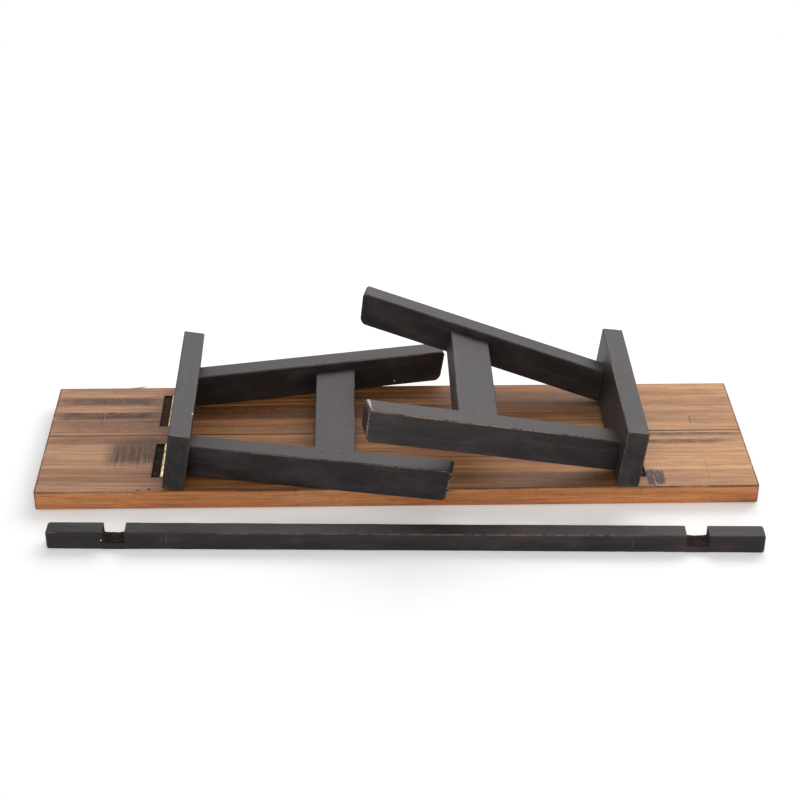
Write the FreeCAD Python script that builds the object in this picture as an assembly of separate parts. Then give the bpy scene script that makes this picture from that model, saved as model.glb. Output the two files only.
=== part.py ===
import FreeCAD, Part
import math
import os
from FreeCAD import Vector

# Folding floor bench, put away upside down, in millimetres and degrees.
# The seat lies on its sitting face. Two leg frames are hinged to its underside and folded over it,
# the left one flat on the board and the right one across it. The loose locking bar lies in front.
# Origin: centre of the sitting face. +X along the seat, +Y away from the bar, +Z up.

# Seat, two planks glued edge to edge
seat_length = 900.0
seat_width = 248.0
seat_thickness = 28.0
front_plank_width = 129.0
sitting_edge_radius = 6.0
corner_radius = 4.0
underside_edge_radius = 1.5
seam_chamfer = 0.7
dowel_radius = 5.0
dowel_length = 60.0
dowel_count = 4
dowel_pitch = 250.0
dowel_end_gap = 1.0

# Butt hinges, brass, five knuckles
hinge_length = 76.0
leaf_width = 13.5
leaf_thickness = 1.5
leaf_gap = 0.3
barrel_radius = 2.5
pin_radius = 1.3
pin_clearance = 0.05
knuckle_count = 5
knuckle_gap = 0.2
knuckle_leaf_gap = 0.3
hinge_end_inset = 31.0
left_hinge_x = 294.0
right_hinge_x = 297.5
pocket_clearance = 0.4

# Countersunk hinge screws
screw_count = 3
screw_pitch = 27.0
screw_offset = 10.2
screw_head_radius = 2.6
screw_head_depth = 1.2
screw_shank_radius = 1.4
screw_length = 14.0
screw_tip_length = 2.5
screw_tip_radius = 0.4
screw_clearance = 0.05
screw_hole_extra_depth = 0.6
facet_count = 8

# Leg frames: cleat, two splayed and raked legs, one rung
cleat_width = 78.5
cleat_thickness = 27.0
cleat_length = 257.0
cleat_edge_radius = 2.0
leg_length = 327.0
leg_width = 44.5
leg_thickness = 27.0
leg_half_spacing = 69.3
leg_rake = 9.0
leg_splay = 10.8
leg_edge_radius = 2.0
leg_setback = 0.0
foot_round = 10.0
foot_ease = 4.0
leg_tenon_length = 19.0
leg_tenon_width = 28.0
leg_tenon_thickness = 13.0
rung_start = 157.0
rung_width = 51.5
rung_thickness = 24.0
rung_edge_radius = 2.0
rung_tenon_length = 16.0
rung_tenon_inset = 6.0
rung_tenon_thickness = 11.0
joint_gap = 0.1
peg_radius = 2.5
peg_length = 33.0
peg_spacing = 26.0
peg_clearance = 0.05
left_frame_y = 5.0
right_frame_y = -4.0

# How the frames lie when folded
board_clearance = 0.3
right_leg_lift = 15.4

# Locking bar, with a notch for the rung of each opened frame
bar_length = 863.0
bar_width = 22.0
bar_height = 24.3
bar_edge_radius = 1.2
bar_end_chamfer = 1.5
notch_clearance = 3.7
notch_depth = 13.8
notch_floor_dip = 1.0
bar_centre_x = 7.0
bar_front_y = -214.5
bar_turn = -1.6

# Places worked out from the sizes above
pin_drop = leaf_thickness + leaf_gap / 2
pin_height = seat_thickness - pin_drop
rake = math.radians(leg_rake)
splay = math.radians(leg_splay)
cleat_inner = pin_drop + cleat_thickness
cleat_edge = (board_clearance + pin_drop + cleat_inner * math.sin(rake)) / math.cos(rake)
leg_centre = cleat_edge + leg_setback + leg_width / 2 / math.cos(rake)
left_lean = leg_rake
right_lean = leg_rake - right_leg_lift
seam_y = front_plank_width - seat_width / 2
hinge_offset = cleat_length / 2 - hinge_end_inset - hinge_length / 2

EAST = Vector(1, 0, 0)
NORTH = Vector(0, 1, 0)
UP = Vector(0, 0, 1)
ORIGIN = Vector(0, 0, 0)


def box(x0, x1, y0, y1, z0, z1):
    """Block between two corners."""
    return Part.makeBox(x1 - x0, y1 - y0, z1 - z0, Vector(x0, y0, z0))


def fused(shapes):
    """One solid from solids that share volume."""
    whole = shapes[0].fuse(shapes[1:])
    return whole.removeSplitter()


def cut(shape, tools):
    """The shape without the tools, as one plain solid."""
    rest = shape.cut(tools)
    if len(rest.Solids) == 1:
        return rest.Solids[0]
    return rest


def many_sided(rings, base, direction):
    """Solid with flat sides through (distance, radius) rings along a direction from a base."""
    turns = [2 * math.pi * (i + 0.5) / facet_count for i in range(facet_count)]
    loops = []
    for distance, radius in rings:
        loop = [Vector(radius * math.cos(a), radius * math.sin(a), distance) for a in turns]
        loops.append(loop + [loop[0]])
    faces = [Part.Face(Part.makePolygon(loops[0])), Part.Face(Part.makePolygon(loops[-1]))]
    for low, high in zip(loops, loops[1:]):
        for i in range(facet_count):
            corners = [low[i], low[i + 1], high[i + 1], high[i], low[i]]
            faces.append(Part.Face(Part.makePolygon(corners)))
    solid = Part.Solid(Part.Shell(faces))
    if solid.Volume < 0:
        solid.reverse()
    solid.Placement = FreeCAD.Placement(base, FreeCAD.Rotation(UP, direction))
    return solid


def long_edges(shape, direction, least):
    """Straight edges along a direction and longer than a least length."""
    unit = Vector(direction)
    unit.normalize()
    found = []
    for edge in shape.Edges:
        if edge.Length < least or edge.Curve.TypeId != "Part::GeomLine":
            continue
        way = edge.tangentAt(edge.FirstParameter)
        if abs(abs(way.dot(unit)) - 1) < 1e-6:
            found.append(edge)
    return found


def edges_at_height(shape, height):
    """Edges that lie wholly at one height."""
    found = []
    for edge in shape.Edges:
        ends = edge.BoundBox
        if abs(ends.ZMin - height) < 1e-6 and abs(ends.ZMax - height) < 1e-6:
            found.append(edge)
    return found


# Seat

def seat_blank():
    """The board as one piece, sitting face down, with its edges eased."""
    board = box(-seat_length / 2, seat_length / 2, -seat_width / 2, seat_width / 2, 0, seat_thickness)
    outline = board.makeFillet(corner_radius, long_edges(board, UP, seat_thickness / 2))
    board = board.makeFillet(sitting_edge_radius, edges_at_height(board, 0))
    board = board.makeFillet(underside_edge_radius, edges_at_height(board, seat_thickness))
    return board.common(outline).Solids[0].cut(seam_groove())


def seam_groove():
    """Shallow V along the seam, left where each plank's edge was taken off."""
    bottom = Vector(-seat_length, seam_y, seat_thickness - seam_chamfer)
    slope = 2 * seam_chamfer
    outline = Part.makePolygon([bottom, bottom + (UP + NORTH) * slope, bottom + (UP - NORTH) * slope, bottom])
    return Part.Face(outline).extrude(EAST * (2 * seat_length))


def hinge_pocket():
    """Recess for both leaves and the barrel, in the hinge's own place, reaching above the board."""
    far = leaf_width + pocket_clearance
    half = hinge_length / 2 + pocket_clearance
    groove_radius = barrel_radius + pocket_clearance
    leaves = box(0, far, -half, half, -pin_drop, pin_drop + barrel_radius)
    groove = Part.makeCylinder(groove_radius, 2 * half, Vector(0, -half, 0), NORTH)
    throat = box(-groove_radius, 0, -half, half, 0, pin_drop + barrel_radius)
    return fused([leaves, groove, throat])


def dowel_places():
    """Distances along the seat of the hidden dowels."""
    middle = (dowel_count - 1) / 2
    return [(i - middle) * dowel_pitch for i in range(dowel_count)]


def dowel(clearance, end_gap):
    """One dowel across the seam, or with a clearance the hole that takes it."""
    length = dowel_length + 2 * end_gap
    start = Vector(0, seam_y - length / 2, seat_thickness / 2)
    return many_sided([(0, dowel_radius + clearance), (length, dowel_radius + clearance)], start, NORTH)


def at_each(shape, places):
    """Copies of a shape moved by each vector."""
    copies = []
    for place in places:
        copy = shape.copy()
        copy.translate(place)
        copies.append(copy)
    return copies


# Hinges: built about the pin axis, leaves closed, +X outboard, +Z away from the board

def screw_places():
    """Where a leaf's screws stand, along the leaf."""
    middle = (screw_count - 1) / 2
    return [Vector(screw_offset, (i - middle) * screw_pitch, 0) for i in range(screw_count)]


def screw(clearance, extra_depth):
    """Countersunk screw pointing down from the leaf gap, or with a clearance its hole."""
    length = screw_length + extra_depth
    shank = screw_shank_radius + clearance
    rings = [
        (0, screw_head_radius + clearance),
        (screw_head_depth, shank),
        (length - screw_tip_length, shank),
        (length, screw_tip_radius),
    ]
    return many_sided(rings, Vector(0, 0, -leaf_gap / 2), -UP)


def turned_over(shape):
    """The shape turned from the seat leaf's side of the gap to the cleat leaf's side."""
    return shape.mirror(ORIGIN, UP)


def hinge_leaf():
    """Seat leaf with the odd knuckles, its screws' countersinks cut."""
    return leaf_with_knuckles(range(0, knuckle_count, 2))


def cleat_leaf():
    """Cleat leaf with the even knuckles, on the other side of the gap."""
    return turned_over(leaf_with_knuckles(range(1, knuckle_count, 2)))


def leaf_with_knuckles(own):
    """A leaf under the gap, its plate running out from the knuckles that it owns."""
    half = hinge_length / 2
    floor = -leaf_gap / 2 - leaf_thickness
    top = -leaf_gap / 2
    plate_start = barrel_radius + knuckle_leaf_gap
    solids = [box(plate_start, leaf_width, -half, half, floor, top)]
    pitch = hinge_length / knuckle_count
    for i in own:
        y0 = -half + i * pitch
        y1 = y0 + pitch
        if i > 0:
            y0 += knuckle_gap / 2
        if i < knuckle_count - 1:
            y1 -= knuckle_gap / 2
        solids.append(Part.makeCylinder(barrel_radius, y1 - y0, Vector(0, y0, 0), NORTH))
        solids.append(box(0, plate_start + leaf_thickness, y0, y1, floor, top))
    leaf = fused(solids)
    bore = Part.makeCylinder(pin_radius + pin_clearance, 2 * hinge_length, Vector(0, -hinge_length, 0), NORTH)
    holes = at_each(screw(screw_clearance, screw_hole_extra_depth), screw_places())
    return cut(leaf, [bore] + holes)


def hinge_pin():
    """Plain pin, as long as the barrel."""
    return Part.makeCylinder(pin_radius, hinge_length, Vector(0, -hinge_length / 2, 0), NORTH)


def both_hinges(shape):
    """A hinge piece at the two hinges of one frame, far one first."""
    return at_each(shape, [Vector(0, hinge_offset, 0), Vector(0, -hinge_offset, 0)])


# Leg frame: built opened, about the pin axis, +X outboard, +Z towards the feet

AXIS = Vector(math.sin(rake), 0, math.cos(rake))
ACROSS = Vector(math.cos(rake), 0, -math.sin(rake))
ROOT = Vector(leg_centre, 0, cleat_inner)


def splay_normal(side):
    """Unit vector square to a leg's inner face, pointing outwards."""
    return NORTH * (side * math.cos(splay)) - AXIS * math.sin(splay)


def on_leg(along, across, side):
    """Point of a leg's inner face: distance along it from the cleat, and across it."""
    sideways = side * (leg_half_spacing + along * math.tan(splay))
    return ROOT + AXIS * along + ACROSS * across + NORTH * sideways


def cleat_blank():
    """Plain cleat with eased long edges."""
    half = cleat_length / 2
    blank = box(cleat_edge, cleat_edge + cleat_width, -half, half, pin_drop, cleat_inner)
    return blank.makeFillet(cleat_edge_radius, long_edges(blank, NORTH, half))


def leg_tenon(side, grow):
    """Square tenon from a leg into the cleat, or grown by the joint gap its mortise."""
    middle_y = side * (leg_half_spacing + leg_thickness / 2 / math.cos(splay))
    half_w = leg_tenon_width / 2 + grow
    half_t = leg_tenon_thickness / 2 + grow
    return box(
        leg_centre - half_w,
        leg_centre + half_w,
        middle_y - half_t,
        middle_y + half_t,
        cleat_inner - leg_tenon_length - grow,
        cleat_inner + leg_edge_radius,
    )


def foot_point(across, side):
    """Point of a leg's inner face on its foot, which is cut parallel to the cleat."""
    return on_leg(leg_length + across * math.tan(rake), across, side)


def foot_cutters(side):
    """What the foot loses: a rounding at its lower corner and a flat at its upper one."""
    half = leg_width / 2
    low = foot_point(-half, side)
    high = foot_point(half, side)
    back = (on_leg(0, 0, side) - on_leg(1, 0, side)).normalize()
    inwards = (high - low).normalize()
    before = low + back * foot_round
    after = low + inwards * foot_round
    middle = (before + after) * 0.5
    bulge = middle + (low - middle) * (math.sqrt(2) - 1)
    beyond = low - (back + inwards) * foot_round
    rounding = Part.Wire([
        Part.Arc(before, bulge, after).toShape(),
        Part.makeLine(after, beyond),
        Part.makeLine(beyond, before),
    ])
    above = high + (inwards - back) * foot_ease
    flat = Part.makePolygon([high + back * foot_ease, high - inwards * foot_ease, above, high + back * foot_ease])
    outwards = splay_normal(side)
    cutters = []
    for outline in (rounding, flat):
        cutter = Part.Face(outline).extrude(outwards * (3 * leg_thickness))
        cutter.translate(outwards * -leg_thickness)
        cutters.append(cutter)
    return cutters


def leg(side):
    """Leg with its foot cut level, its lower corner rounded and its upper one eased, and its tenon."""
    half = leg_width / 2
    back = -leg_width
    corners = [on_leg(back, -half, side), foot_point(-half, side), foot_point(half, side), on_leg(back, half, side)]
    outline = Part.makePolygon(corners + corners[:1])
    beam = Part.Face(outline).extrude(splay_normal(side) * leg_thickness)
    run = on_leg(1, 0, side) - on_leg(0, 0, side)
    beam = beam.makeFillet(leg_edge_radius, long_edges(beam, run, leg_length / 2))
    reach = leg_length + leg_width
    below = box(-reach, reach, -reach, reach, cleat_inner - reach, cleat_inner)
    beam = cut(beam, [below] + foot_cutters(side))
    return fused([beam, leg_tenon(side, 0)])


def rung_tenon(side, grow):
    """Tenon from the rung into a leg, square to the leg's face, or grown its mortise."""
    first = rung_start + rung_tenon_inset - grow
    last = rung_start + rung_width - rung_tenon_inset + grow
    half = rung_tenon_thickness / 2 + grow
    outwards = splay_normal(side)
    root = outwards * -rung_edge_radius
    tip = outwards * (rung_tenon_length + grow)
    start = on_leg(first, -half, side)
    end = on_leg(last, -half, side)
    outline = Part.makePolygon([start + root, end + root, end + tip, start + tip, start + root])
    return Part.Face(outline).extrude(ACROSS * (2 * half))


def rung():
    """Rung as wide as the legs stand apart, its ends cut to their splay."""
    half = rung_thickness / 2
    near_start = on_leg(rung_start, -half, -1)
    far_start = on_leg(rung_start, -half, 1)
    near_end = on_leg(rung_start + rung_width, -half, -1)
    far_end = on_leg(rung_start + rung_width, -half, 1)
    outline = Part.makePolygon([near_start, far_start, far_end, near_end, near_start])
    board = Part.Face(outline).extrude(ACROSS * rung_thickness)
    board = board.makeFillet(rung_edge_radius, long_edges(board, NORTH, leg_half_spacing))
    return fused([board, rung_tenon(1, 0), rung_tenon(-1, 0)])


def peg(side, along, clearance):
    """Peg driven through a leg and the rung's tenon, or with a clearance its hole."""
    middle = on_leg(along, leg_width / 2, side) + splay_normal(side) * (rung_tenon_length / 2)
    length = peg_length + clearance
    radius = peg_radius + clearance
    if clearance:
        middle += ACROSS * peg_radius
        length += peg_radius
    return many_sided([(0, radius), (length, radius)], middle - ACROSS * length, ACROSS)


def pegs(clearance, sides=(1, -1)):
    """Two pegs through each rung tenon."""
    middle = rung_start + rung_width / 2
    solids = []
    for side in sides:
        for along in (middle - peg_spacing / 2, middle + peg_spacing / 2):
            solids.append(peg(side, along, clearance))
    return solids


def frame_pieces():
    """Every piece of one leg frame, opened, by name."""
    screws = []
    holes = []
    for place in screw_places():
        for y in (hinge_offset, -hinge_offset):
            screws += at_each(turned_over(screw(0, 0)), [place + Vector(0, y, 0)])
            hole = turned_over(screw(screw_clearance, screw_hole_extra_depth))
            holes += at_each(hole, [place + Vector(0, y, 0)])
    leg_pieces = {}
    for name, side in (("far_leg", 1), ("near_leg", -1)):
        tools = [rung_tenon(side, joint_gap)] + pegs(peg_clearance, (side,))
        leg_pieces[name] = cut(leg(side), tools)
    mortises = [leg_tenon(1, joint_gap), leg_tenon(-1, joint_gap)]
    leaves = both_hinges(cleat_leaf())
    return {
        "cleat": cut(cleat_blank(), mortises + holes),
        "far_leg": leg_pieces["far_leg"],
        "near_leg": leg_pieces["near_leg"],
        "rung": cut(rung(), pegs(peg_clearance)),
        "rung_pegs": Part.makeCompound(pegs(0)),
        "far_cleat_leaf": leaves[0],
        "near_cleat_leaf": leaves[1],
        "cleat_screws": Part.makeCompound(screws),
    }


def hung(shape, left, lean):
    """A piece of a frame, turned about its pin from opened to folded and set on the seat."""
    turned = shape.copy()
    turned.rotate(ORIGIN, -NORTH, 90 + lean)
    return at_hinge_line(turned, left)


def at_hinge_line(shape, left):
    """A shape about the pin axis moved to the left or the right hinge line."""
    placed = shape
    if left:
        placed = placed.mirror(ORIGIN, EAST)
        placed.translate(Vector(-left_hinge_x, left_frame_y, pin_height))
    else:
        placed = placed.copy()
        placed.translate(Vector(right_hinge_x, right_frame_y, pin_height))
    return placed


# Locking bar

def notch_centre(hinge_x):
    """Where the rung of an opened frame crosses the bar, halfway down the notch."""
    along = rung_start + notch_depth / 2
    return hinge_x + leg_centre + along * math.sin(rake)


def locking_bar():
    """Bar lying on the floor with its notches up, their floors left hollow by the chisel."""
    end = bar_length / 2
    half_notch = (rung_thickness + notch_clearance) / 2
    floor = bar_height - notch_depth
    middle = (right_hinge_x - left_hinge_x) / 2
    outline = [Vector(-end, 0, 0), Vector(-end, 0, bar_height)]
    for centre in (-notch_centre(left_hinge_x) - middle, notch_centre(right_hinge_x) - middle):
        outline += [
            Vector(centre - half_notch, 0, bar_height),
            Vector(centre - half_notch, 0, floor),
            Vector(centre, 0, floor - notch_floor_dip),
            Vector(centre + half_notch, 0, floor),
            Vector(centre + half_notch, 0, bar_height),
        ]
    outline += [Vector(end, 0, bar_height), Vector(end, 0, 0), Vector(-end, 0, 0)]
    bar = Part.Face(Part.makePolygon(outline)).extrude(NORTH * bar_width)
    ends = [edge for edge in bar.Edges if abs(abs(edge.CenterOfMass.x) - end) < 1e-6]
    bar = bar.makeChamfer(bar_end_chamfer, ends)
    bar = bar.makeFillet(bar_edge_radius, long_edges(bar, EAST, rung_thickness * 2))
    bar.rotate(Vector(0, bar_width / 2, 0), UP, bar_turn)
    bar.translate(Vector(bar_centre_x, bar_front_y, 0))
    return bar


def seat_pieces():
    """The planks, the dowels across their seam, and what the seat holds of each hinge."""
    board = seat_blank()
    screws = []
    tools = at_each(dowel(pin_clearance, dowel_end_gap), [EAST * x for x in dowel_places()])
    pieces = {}
    for left, frame in ((True, "left"), (False, "right")):
        for shape in both_hinges(hinge_pocket()):
            tools.append(at_hinge_line(shape, left))
        for place in screw_places():
            for shape in both_hinges(at_each(screw(0, 0), [place])[0]):
                screws.append(at_hinge_line(shape, left))
            hole = at_each(screw(screw_clearance, screw_hole_extra_depth), [place])[0]
            for shape in both_hinges(hole):
                tools.append(at_hinge_line(shape, left))
        for end, shape in zip(("far", "near"), both_hinges(hinge_leaf())):
            pieces[frame + "_" + end + "_seat_leaf"] = at_hinge_line(shape, left)
        for end, shape in zip(("far", "near"), both_hinges(hinge_pin())):
            pieces[frame + "_" + end + "_hinge_pin"] = at_hinge_line(shape, left)
    board = cut(board, tools)
    half = seat_length
    front = board.common(box(-half, half, -half, seam_y, -half, half))
    rear = board.common(box(-half, half, seam_y, half, -half, half))
    pieces["front_plank"] = front.Solids[0]
    pieces["rear_plank"] = rear.Solids[0]
    dowels = at_each(dowel(0, 0), [EAST * x for x in dowel_places()])
    pieces["seam_dowels"] = Part.makeCompound(dowels)
    pieces["seat_hinge_screws"] = Part.makeCompound(screws)
    return pieces


def main():
    os.makedirs("parts", exist_ok=True)
    pieces = seat_pieces()
    pieces["locking_bar"] = locking_bar()
    opened = frame_pieces()
    for name, shape in opened.items():
        pieces["left_" + name] = hung(shape, True, left_lean)
        pieces["right_" + name] = hung(shape, False, right_lean)
    for name, shape in pieces.items():
        shape.exportStep("parts/" + name + ".step")
        print(name, "solids", len(shape.Solids), "volume", round(shape.Volume, 1), "valid", shape.isValid())
    print("cleat edge", round(cleat_edge, 3), "leg centre", round(leg_centre, 3))
    print("left opens", 90 + left_lean, "right opens", 90 + right_lean)


main()
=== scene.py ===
import bmesh
import bpy
import math
import random
from mathutils import Matrix, Vector

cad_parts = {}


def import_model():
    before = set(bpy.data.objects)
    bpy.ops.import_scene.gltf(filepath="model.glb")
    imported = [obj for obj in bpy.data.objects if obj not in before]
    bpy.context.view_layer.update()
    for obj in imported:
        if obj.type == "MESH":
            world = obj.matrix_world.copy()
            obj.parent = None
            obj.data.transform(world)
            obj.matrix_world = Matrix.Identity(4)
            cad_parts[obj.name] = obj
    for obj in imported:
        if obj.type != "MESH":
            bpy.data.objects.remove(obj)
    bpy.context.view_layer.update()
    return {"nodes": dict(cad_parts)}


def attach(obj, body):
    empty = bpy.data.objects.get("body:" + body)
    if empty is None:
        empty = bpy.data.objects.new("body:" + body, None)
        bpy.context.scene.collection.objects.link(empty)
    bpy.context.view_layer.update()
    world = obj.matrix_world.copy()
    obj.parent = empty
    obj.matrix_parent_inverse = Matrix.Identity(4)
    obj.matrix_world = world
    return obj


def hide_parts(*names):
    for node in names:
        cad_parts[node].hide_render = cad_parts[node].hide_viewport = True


# Folding floor bench, put away upside down: its finishes, its small wood and metal details,
# the floor, the light and the camera. Metres and radians, in the frame of the solids.

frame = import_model()
nodes = frame["nodes"]

# Sizes of the solids that the finishes follow
seat_length = 0.900
seat_width = 0.248
seat_thickness = 0.028
seam_y = 0.005
cleat_width = 0.0785
cleat_thickness = 0.027
cleat_length = 0.257
cleat_edge = 0.006512
leg_centre = 0.029039
leg_length = 0.327
leg_width = 0.0445
leg_thickness = 0.027
leg_half_spacing = 0.0693
rung_start = 0.157
rung_width = 0.0515
rung_thickness = 0.024
peg_spacing = 0.026
peg_inset = 0.008
pin_drop = 0.00165
pin_height = seat_thickness - pin_drop
cleat_inner = pin_drop + cleat_thickness
rake = math.radians(9)
splay = math.radians(10.8)
left_hinge = Vector((-0.294, 0.005, pin_height))
right_hinge = Vector((0.2975, -0.004, pin_height))
both_sides = ((True, "left_"), (False, "right_"))
left_lean = math.radians(9)
right_lean = math.radians(9 - 15.4)
hinge_offset = 0.0595
hinge_length = 0.076
pocket_half = 0.0395
pocket_inboard = 0.0040
pocket_outboard = 0.0150
screw_pitch = 0.027
screw_offset = 0.0102
bar_length = 0.863
bar_width = 0.022
bar_height = 0.0243
bar_place = Vector((0.007, -0.2145, 0))
bar_turn = math.radians(-1.6)
planer_pitch = 0.0023

EAST = Vector((1, 0, 0))
NORTH = Vector((0, 1, 0))
UP = Vector((0, 0, 1))
AXIS = Vector((math.sin(rake), 0, math.cos(rake)))
ACROSS = Vector((math.cos(rake), 0, -math.sin(rake)))
bar_rotation = Matrix.Rotation(bar_turn, 3, UP)


def turn_of(left):
    """How directions of an opened frame turn when it is folded."""
    lean = left_lean if left else right_lean
    turn = Matrix.Rotation(math.pi / 2 + lean, 3, -NORTH)
    if left:
        turn = Matrix.Diagonal((-1, 1, 1)) @ turn
    return turn


def hinge_of(left):
    """Middle of a frame's hinge line."""
    return left_hinge if left else right_hinge


def folded(point, left):
    """A point of an opened frame, where it lies once the frame is folded."""
    return turn_of(left) @ Vector(point) + hinge_of(left)


def splay_normal(side):
    """Unit vector square to a leg's inner face, pointing outwards."""
    return NORTH * (side * math.cos(splay)) - AXIS * math.sin(splay)


def on_leg(along, across, side):
    """Point of a leg's inner face on an opened frame."""
    sideways = side * (leg_half_spacing + along * math.tan(splay))
    return Vector((leg_centre, 0, cleat_inner)) + AXIS * along + ACROSS * across + NORTH * sideways


# Colours and materials

def colour(code):
    """Linear colour from a hex code."""
    channels = [int(code[i:i + 2], 16) / 255 for i in (0, 2, 4)]
    linear = [c / 12.92 if c <= 0.04045 else ((c + 0.055) / 1.055) ** 2.4 for c in channels]
    return (linear[0], linear[1], linear[2], 1)


class Paint:
    """One material under construction. Its methods add nodes and return sockets."""

    def __init__(self, name):
        self.material = bpy.data.materials.new(name)
        self.material.use_nodes = True
        self.tree = self.material.node_tree
        self.tree.nodes.clear()
        self.place = self.node("ShaderNodeTexCoord").outputs["Object"]
        split = self.node("ShaderNodeSeparateXYZ")
        self.feed(split.inputs[0], self.place)
        self.x, self.y, self.z = split.outputs

    def node(self, kind, **settings):
        made = self.tree.nodes.new(kind)
        for key, value in settings.items():
            setattr(made, key, value)
        return made

    def feed(self, socket, value):
        if isinstance(value, bpy.types.NodeSocket):
            self.tree.links.new(value, socket)
        else:
            socket.default_value = value

    def math(self, operation, first, second=0.0, third=0.0):
        made = self.node("ShaderNodeMath", operation=operation)
        for socket, value in zip(made.inputs, (first, second, third)):
            self.feed(socket, value)
        return made.outputs[0]

    def dot(self, direction):
        """Distance of the surface point along a direction."""
        made = self.node("ShaderNodeVectorMath", operation="DOT_PRODUCT")
        self.feed(made.inputs[0], self.place)
        made.inputs[1].default_value = direction
        return made.outputs["Value"]

    def distance(self, point):
        """Distance of the surface point from a fixed point."""
        made = self.node("ShaderNodeVectorMath", operation="DISTANCE")
        self.feed(made.inputs[0], self.place)
        made.inputs[1].default_value = point
        return made.outputs["Value"]

    def vector(self, x, y, z):
        made = self.node("ShaderNodeCombineXYZ")
        for socket, value in zip(made.inputs, (x, y, z)):
            self.feed(socket, value)
        return made.outputs[0]

    def noise(self, vector, detail=3.0, roughness=0.5):
        made = self.node("ShaderNodeTexNoise", noise_dimensions="3D")
        self.feed(made.inputs["Vector"], vector)
        made.inputs["Scale"].default_value = 1
        made.inputs["Detail"].default_value = detail
        made.inputs["Roughness"].default_value = roughness
        return made.outputs[0]

    def step(self, value, low, high):
        """0 below low, 1 above high, smooth between."""
        made = self.node("ShaderNodeMapRange", interpolation_type="SMOOTHSTEP")
        self.feed(made.inputs[0], value)
        made.inputs[1].default_value = low
        made.inputs[2].default_value = high
        return made.outputs[0]

    def times(self, *factors):
        product = factors[0]
        for factor in factors[1:]:
            product = self.math("MULTIPLY", product, factor)
        return product

    def plus(self, *terms):
        total = terms[0]
        for term in terms[1:]:
            total = self.math("ADD", total, term)
        return total

    def mix(self, factor, first, second, blend="MIX"):
        made = self.node("ShaderNodeMix", data_type="RGBA", blend_type=blend)
        self.feed(made.inputs[0], factor)
        self.feed(made.inputs[6], first)
        self.feed(made.inputs[7], second)
        return made.outputs[2]

    def tint(self, base, code, *factors):
        """A base with the colour of a hex code laid over it, by a product of factors."""
        return self.mix(self.times(*factors), base, colour(code))

    def ramp(self, value, *stops):
        """Colour along a value, from (position, hex code) pairs."""
        made = self.node("ShaderNodeValToRGB")
        self.feed(made.inputs[0], value)
        elements = made.color_ramp.elements
        while len(elements) < len(stops):
            elements.new(0.5)
        for element, (position, code) in zip(elements, stops):
            element.position = position
            element.color = colour(code)
        return made.outputs[0]

    def sway(self, noise, amount):
        """A noise value swung evenly to both sides of zero."""
        return self.times(self.math("SUBTRACT", noise, 0.5), amount)

    def apart(self, value, other):
        """How far two values lie apart."""
        return self.math("ABSOLUTE", self.math("SUBTRACT", value, other))

    def span(self, first, second):
        """Length of the long side of a right triangle."""
        return self.math("SQRT", self.plus(self.times(first, first), self.times(second, second)))

    def stretched(self, grain, seed, scales, detail=3.0, roughness=0.5):
        """Noise with a scale of its own along, across and through the grain."""
        along, across, through = [self.times(value, scale) for value, scale in zip(grain, scales)]
        if seed:
            along = self.plus(along, seed)
        return self.noise(self.vector(along, across, through), detail, roughness)

    def between(self, value, low, high, soft):
        """1 between two values, 0 outside, with a soft border."""
        rise = self.step(value, low - soft, low + soft)
        fall = self.step(value, high + soft, high - soft)
        return self.times(rise, fall)

    def finish(self, base, rough, height=None, bump=0.3, depth=0.001, metallic=0.0, specular=0.5):
        """The shader and its output. Height is in a 0 to 1 scale times depth."""
        shader = self.node("ShaderNodeBsdfPrincipled")
        self.feed(shader.inputs["Base Color"], base)
        self.feed(shader.inputs["Roughness"], rough)
        self.feed(shader.inputs["Metallic"], metallic)
        shader.inputs["Specular IOR Level"].default_value = specular
        if height is not None:
            relief = self.node("ShaderNodeBump")
            relief.inputs["Strength"].default_value = bump
            relief.inputs["Distance"].default_value = depth
            self.feed(relief.inputs["Height"], height)
            self.feed(shader.inputs["Normal"], relief.outputs[0])
        output = self.node("ShaderNodeOutputMaterial")
        self.feed(output.inputs[0], shader.outputs[0])
        return self.material


def edge_closeness(paint, slabs):
    """0 on the edges of a block and negative away from them. Slabs are (direction, low, high)."""
    depths = []
    for direction, low, high in slabs:
        along = paint.dot(direction)
        centred = paint.math("SUBTRACT", along, (low + high) / 2)
        outside = paint.math("SUBTRACT", paint.math("ABSOLUTE", centred), (high - low) / 2)
        depths.append(outside)
    first, second, third = depths
    lesser = paint.math("MINIMUM", first, second)
    greater = paint.math("MAXIMUM", first, second)
    return paint.math("MAXIMUM", lesser, paint.math("MINIMUM", greater, third))


def slab(direction, point, size):
    """(direction, low, high) of a slab of a size that starts at a point."""
    start = direction.dot(point)
    return (direction, start, start + size)


def dress(name, material):
    """Puts one material on a solid's node."""
    mesh = nodes[name].data
    mesh.materials.clear()
    mesh.materials.append(material)


# Seat: one kind of wood in two planks, oiled, greyer at the left end and paler at the right

def grained(paint, along, across, through, seed):
    """Grain that runs along one coordinate: broad bands, fine streaks and pores."""
    lifted = paint.plus(through, seed)
    wander = paint.noise(paint.vector(paint.times(along, 2.6), paint.times(across, 9), lifted))
    bent = paint.plus(across, paint.sway(wander, 0.022))
    grain = (along, bent, through)
    broad = paint.stretched(grain, seed, (1.1, 34, 34), 4, 0.55)
    streak = paint.stretched(grain, seed, (5, 190, 190), 5, 0.6)
    fine = paint.stretched(grain, seed, (26, 900, 900), 2)
    pore = paint.stretched(grain, seed, (90, 1500, 1500), 1)
    return broad, streak, fine, pore


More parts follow.
